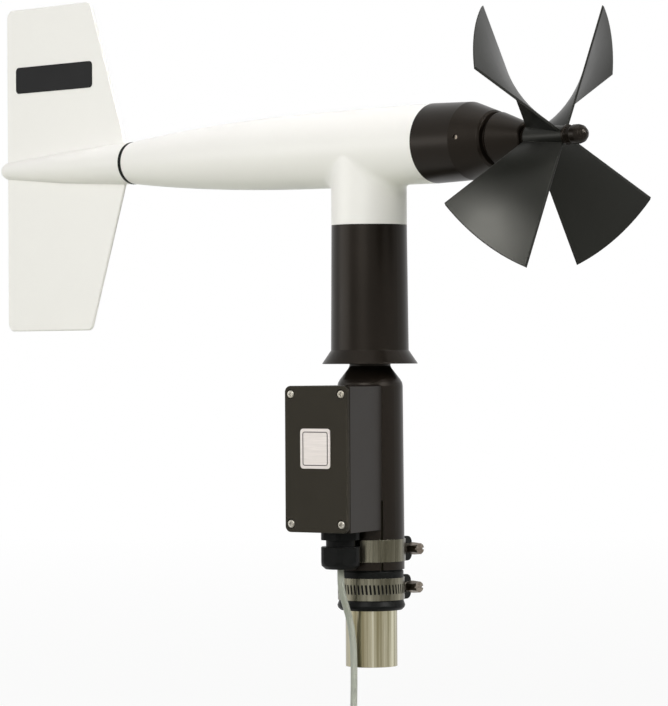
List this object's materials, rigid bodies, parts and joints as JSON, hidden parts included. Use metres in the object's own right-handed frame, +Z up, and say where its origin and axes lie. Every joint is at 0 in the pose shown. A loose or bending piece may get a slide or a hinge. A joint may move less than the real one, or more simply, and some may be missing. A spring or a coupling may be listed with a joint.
{
  "type": "wind monitor",
  "caption": "Propeller and vane wind monitor: helicoid propeller on a vane-steered body that turns on a post clamped to a mast pipe, with a side junction box",
  "frame": {"origin": "centre of the mast pipe's lower end", "axes": "+Z up along the mast and the yaw axis, +X the way the nose and propeller point, along the body from the tail vane to the propeller nut"},
  "size_m": [0.5516, 0.1634, 0.5682],
  "materials": {
    "polished_steel": "polished",
    "black_plastic": "satin",
    "stainless_steel": "turned",
    "sensor_plastic": "moulded",
    "box_plastic": "fine moulded texture",
    "black_rubber": "matte",
    "plate_aluminium": "satin",
    "board_green": "lacquered",
    "band_steel": "rolled strip",
    "clamp_steel": "pressed",
    "grey_cable": "smooth jacket",
    "white_plastic": "satin gloss",
    "panel_black": "gloss",
    "copper_coil": "lacquered winding",
    "magnet_grey": "sintered",
    "propeller_plastic": "satin"
  },
  "bodies": {
    "mount": {"mast_pipe": "polished_steel", "mounting_post": "black_plastic", "vertical_shaft": "stainless_steel", "azimuth_sensor": "sensor_plastic", "box_cover": "box_plastic", "cover_gasket": "black_rubber", "cover_screws": "stainless_steel", "blank_plate": "plate_aluminium", "terminal_board": "board_green", "terminal_block": "sensor_plastic", "gland_body": "black_plastic", "gland_nut": "black_plastic", "gland_seal": "black_rubber", "upper_band": "band_steel", "upper_clamp_housing": "clamp_steel", "upper_clamp_screw": "stainless_steel", "lower_band": "band_steel", "lower_clamp_housing": "clamp_steel", "lower_clamp_screw": "stainless_steel", "orientation_ring": "black_plastic", "signal_cable": "grey_cable", "cable_coil": "grey_cable", "coil_ties": "black_plastic"},
    "head": {"main_housing": "white_plastic", "housing_skirt": "black_plastic", "lower_yaw_bearing": "stainless_steel", "upper_yaw_bearing": "stainless_steel", "sensor_coupling": "sensor_plastic", "tail_joint_ring": "black_rubber", "tail_vane": "white_plastic", "vane_panel": "panel_black", "nose_cone": "black_plastic", "nose_screw": "stainless_steel", "pickup_coil": "copper_coil", "rear_prop_bearing": "stainless_steel", "front_prop_bearing": "stainless_steel"},
    "rotor": {"propeller_shaft": "stainless_steel", "magnet_ring": "magnet_grey", "rotating_cone": "black_plastic", "propeller_washer": "black_plastic", "propeller": "propeller_plastic", "propeller_nut": "black_plastic"}
  },
  "joints": [
    {"name": "head_yaw", "type": "hinge", "parent": "mount", "child": "head", "pos_m": [0, 0, 0.334], "axis": [0, 0, 1], "continuous": true},
    {"name": "propeller_spin", "type": "hinge", "parent": "head", "child": "rotor", "pos_m": [0.15, 0, 0.334], "axis": [1, 0, 0], "continuous": true}
  ]
}
